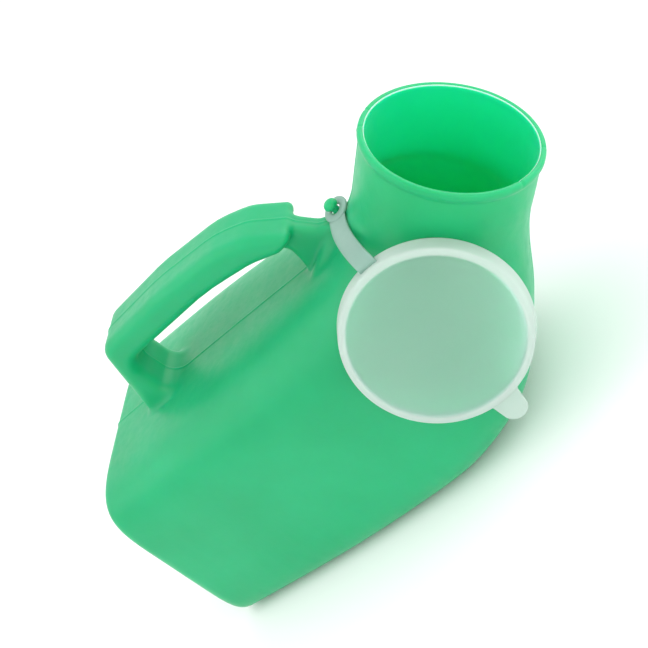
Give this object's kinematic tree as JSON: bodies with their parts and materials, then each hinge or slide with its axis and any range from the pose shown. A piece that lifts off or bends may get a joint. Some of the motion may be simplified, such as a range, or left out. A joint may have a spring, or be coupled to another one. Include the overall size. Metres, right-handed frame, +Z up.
{
  "type": "male urine bottle",
  "caption": "Translucent blow-moulded urine bottle with a hollow handle, an angled round neck and a snap cap hanging from a moulded strap.",
  "frame": {"origin": "on the flat underside that the bottle lies on, under the middle of the body", "axes": "+Z up from the underside, +X towards the neck end, +Y away from the side where the cap hangs"},
  "size_m": [0.2277, 0.1096, 0.128],
  "materials": {
    "bottle_plastic": "translucent green polyethylene, satin moulded surface",
    "cap_plastic": "milky translucent natural polyethylene"
  },
  "bodies": {
    "bottle": {"bottle": "bottle_plastic"},
    "ring": {"strap_ring": "cap_plastic"},
    "strap": {"strap": "cap_plastic"},
    "cap": {"lid": "cap_plastic"}
  },
  "joints": [
    {"name": "ring_swivel", "type": "hinge", "parent": "bottle", "child": "ring", "pos_m": [0.0878, 0, 0.1058], "axis": [0, 0.2588, -0.9659], "range_deg": [0, 6]},
    {"name": "strap_lift", "type": "hinge", "parent": "ring", "child": "strap", "pos_m": [0.0878, -0.00493, 0.1045], "axis": [-1, 0, 0], "range_deg": [0, 60]},
    {"name": "cap_swing", "type": "hinge", "parent": "strap", "child": "cap", "pos_m": [0.10322, -0.03971, 0.10233], "axis": [-0.9796, -0.1998, 0.0208], "range_deg": [0, 80]}
  ]
}
